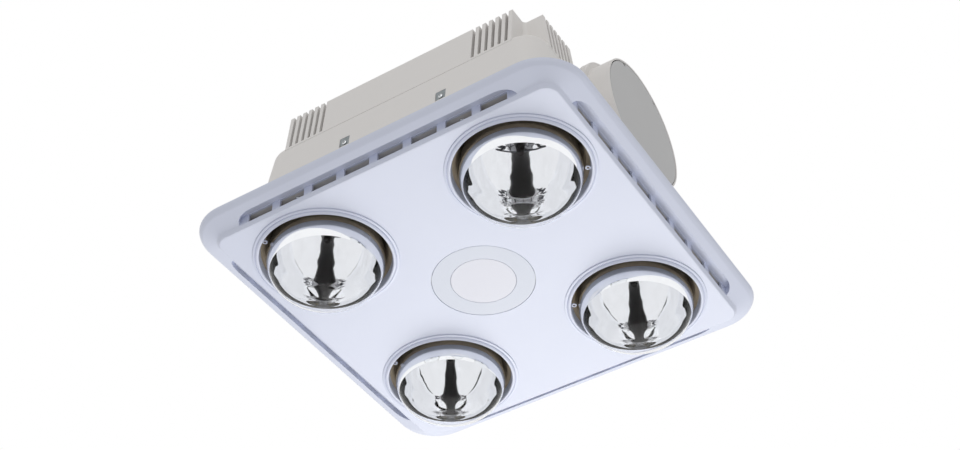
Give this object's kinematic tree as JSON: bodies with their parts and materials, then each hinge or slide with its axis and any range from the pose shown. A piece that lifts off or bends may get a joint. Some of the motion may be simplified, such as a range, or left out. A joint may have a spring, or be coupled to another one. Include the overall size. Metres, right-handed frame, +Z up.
{
  "type": "recessed heat lamp",
  "caption": "Recessed ceiling heat lamp unit: white square fascia with reflector lamps, a downlight, an extractor fan and a side duct spigot.",
  "frame": {"origin": "middle of the ceiling's underside, which the fascia's rim and the housing's flange bear on", "axes": "+Z up into the ceiling space, +X out along the duct spigot, +Y to the rear"},
  "size_m": [0.46, 0.46, 0.258],
  "materials": {
    "moulded_white": "satin white moulding",
    "ring_white": "satin white moulding, a little glossier",
    "bowl_metal": "dull brown-grey pressed sheet",
    "lamp_glass": "clear glass front, silvered behind",
    "stem_glass": "dark glass stem and filament",
    "cap_brass": "plated screw cap",
    "holder_ceramic": "cream glazed ceramic",
    "galvanised_steel": "galvanised sheet",
    "zinc_plate": "bright zinc plate",
    "opal_diffuser": "opal, faintly satin",
    "board_white": "white solder mask",
    "cast_aluminium": "as cast",
    "grey_plastic": "fine matte",
    "housing_white": "fine matte moulding",
    "black_plastic": "matte"
  },
  "bodies": {
    "root": {"cable_gland": "grey_plastic", "chassis_rail_left": "galvanised_steel", "chassis_rail_right": "galvanised_steel", "fan_scroll": "galvanised_steel", "fascia": "moulded_white", "flange_screw_1": "zinc_plate", "flange_screw_2": "zinc_plate", "flange_screw_3": "zinc_plate", "flange_screw_4": "zinc_plate", "flange_screw_5": "zinc_plate", "flange_screw_6": "zinc_plate", "flange_screw_7": "zinc_plate", "flange_screw_8": "zinc_plate", "housing_skirt": "housing_white", "housing_top": "housing_white", "lamp_bar_front": "galvanised_steel", "lamp_bar_rear": "galvanised_steel", "lampholder_1": "holder_ceramic", "lampholder_2": "holder_ceramic", "lampholder_3": "holder_ceramic", "lampholder_4": "holder_ceramic", "led_board": "board_white", "led_diffuser": "opal_diffuser", "led_driver": "grey_plastic", "led_heat_sink": "cast_aluminium", "led_trim": "ring_white", "motor_body": "galvanised_steel", "outlet_adaptor": "housing_white", "rail_screw_1": "zinc_plate", "rail_screw_2": "zinc_plate", "rail_screw_3": "zinc_plate", "rail_screw_4": "zinc_plate", "reflector_bowl_1": "bowl_metal", "reflector_bowl_2": "bowl_metal", "reflector_bowl_3": "bowl_metal", "reflector_bowl_4": "bowl_metal", "scroll_cover": "galvanised_steel", "terminal_block": "black_plastic", "terminal_box": "housing_white", "terminal_box_lid": "housing_white", "trim_ring_1": "ring_white", "trim_ring_2": "ring_white", "trim_ring_3": "ring_white", "trim_ring_4": "ring_white"},
    "lamp_1": {"lamp_envelope_1": "lamp_glass", "lamp_stem_1": "stem_glass", "lamp_cap_1": "cap_brass"},
    "lamp_2": {"lamp_envelope_2": "lamp_glass", "lamp_stem_2": "stem_glass", "lamp_cap_2": "cap_brass"},
    "lamp_3": {"lamp_envelope_3": "lamp_glass", "lamp_stem_3": "stem_glass", "lamp_cap_3": "cap_brass"},
    "lamp_4": {"lamp_envelope_4": "lamp_glass", "lamp_stem_4": "stem_glass", "lamp_cap_4": "cap_brass"},
    "fan_rotor": {"impeller": "black_plastic", "motor_shaft": "zinc_plate"},
    "damper": {"backdraft_flap": "grey_plastic", "flap_pin": "zinc_plate"}
  },
  "joints": [
    {"name": "lamp_1_removal", "type": "slide", "parent": "root", "child": "lamp_1", "axis": [0, 0, -1], "range_m": [0, 0.15]},
    {"name": "lamp_2_removal", "type": "slide", "parent": "root", "child": "lamp_2", "axis": [0, 0, -1], "range_m": [0, 0.15]},
    {"name": "lamp_3_removal", "type": "slide", "parent": "root", "child": "lamp_3", "axis": [0, 0, -1], "range_m": [0, 0.15]},
    {"name": "lamp_4_removal", "type": "slide", "parent": "root", "child": "lamp_4", "axis": [0, 0, -1], "range_m": [0, 0.15]},
    {"name": "fan_spin", "type": "hinge", "parent": "root", "child": "fan_rotor", "pos_m": [-0.02, -0.054, 0.11], "axis": [0, 0, 1], "continuous": true},
    {"name": "flap_swing", "type": "hinge", "parent": "root", "child": "damper", "pos_m": [0.2033, 0, 0.174], "axis": [0, -1, 0], "range_deg": [0, 70]}
  ]
}
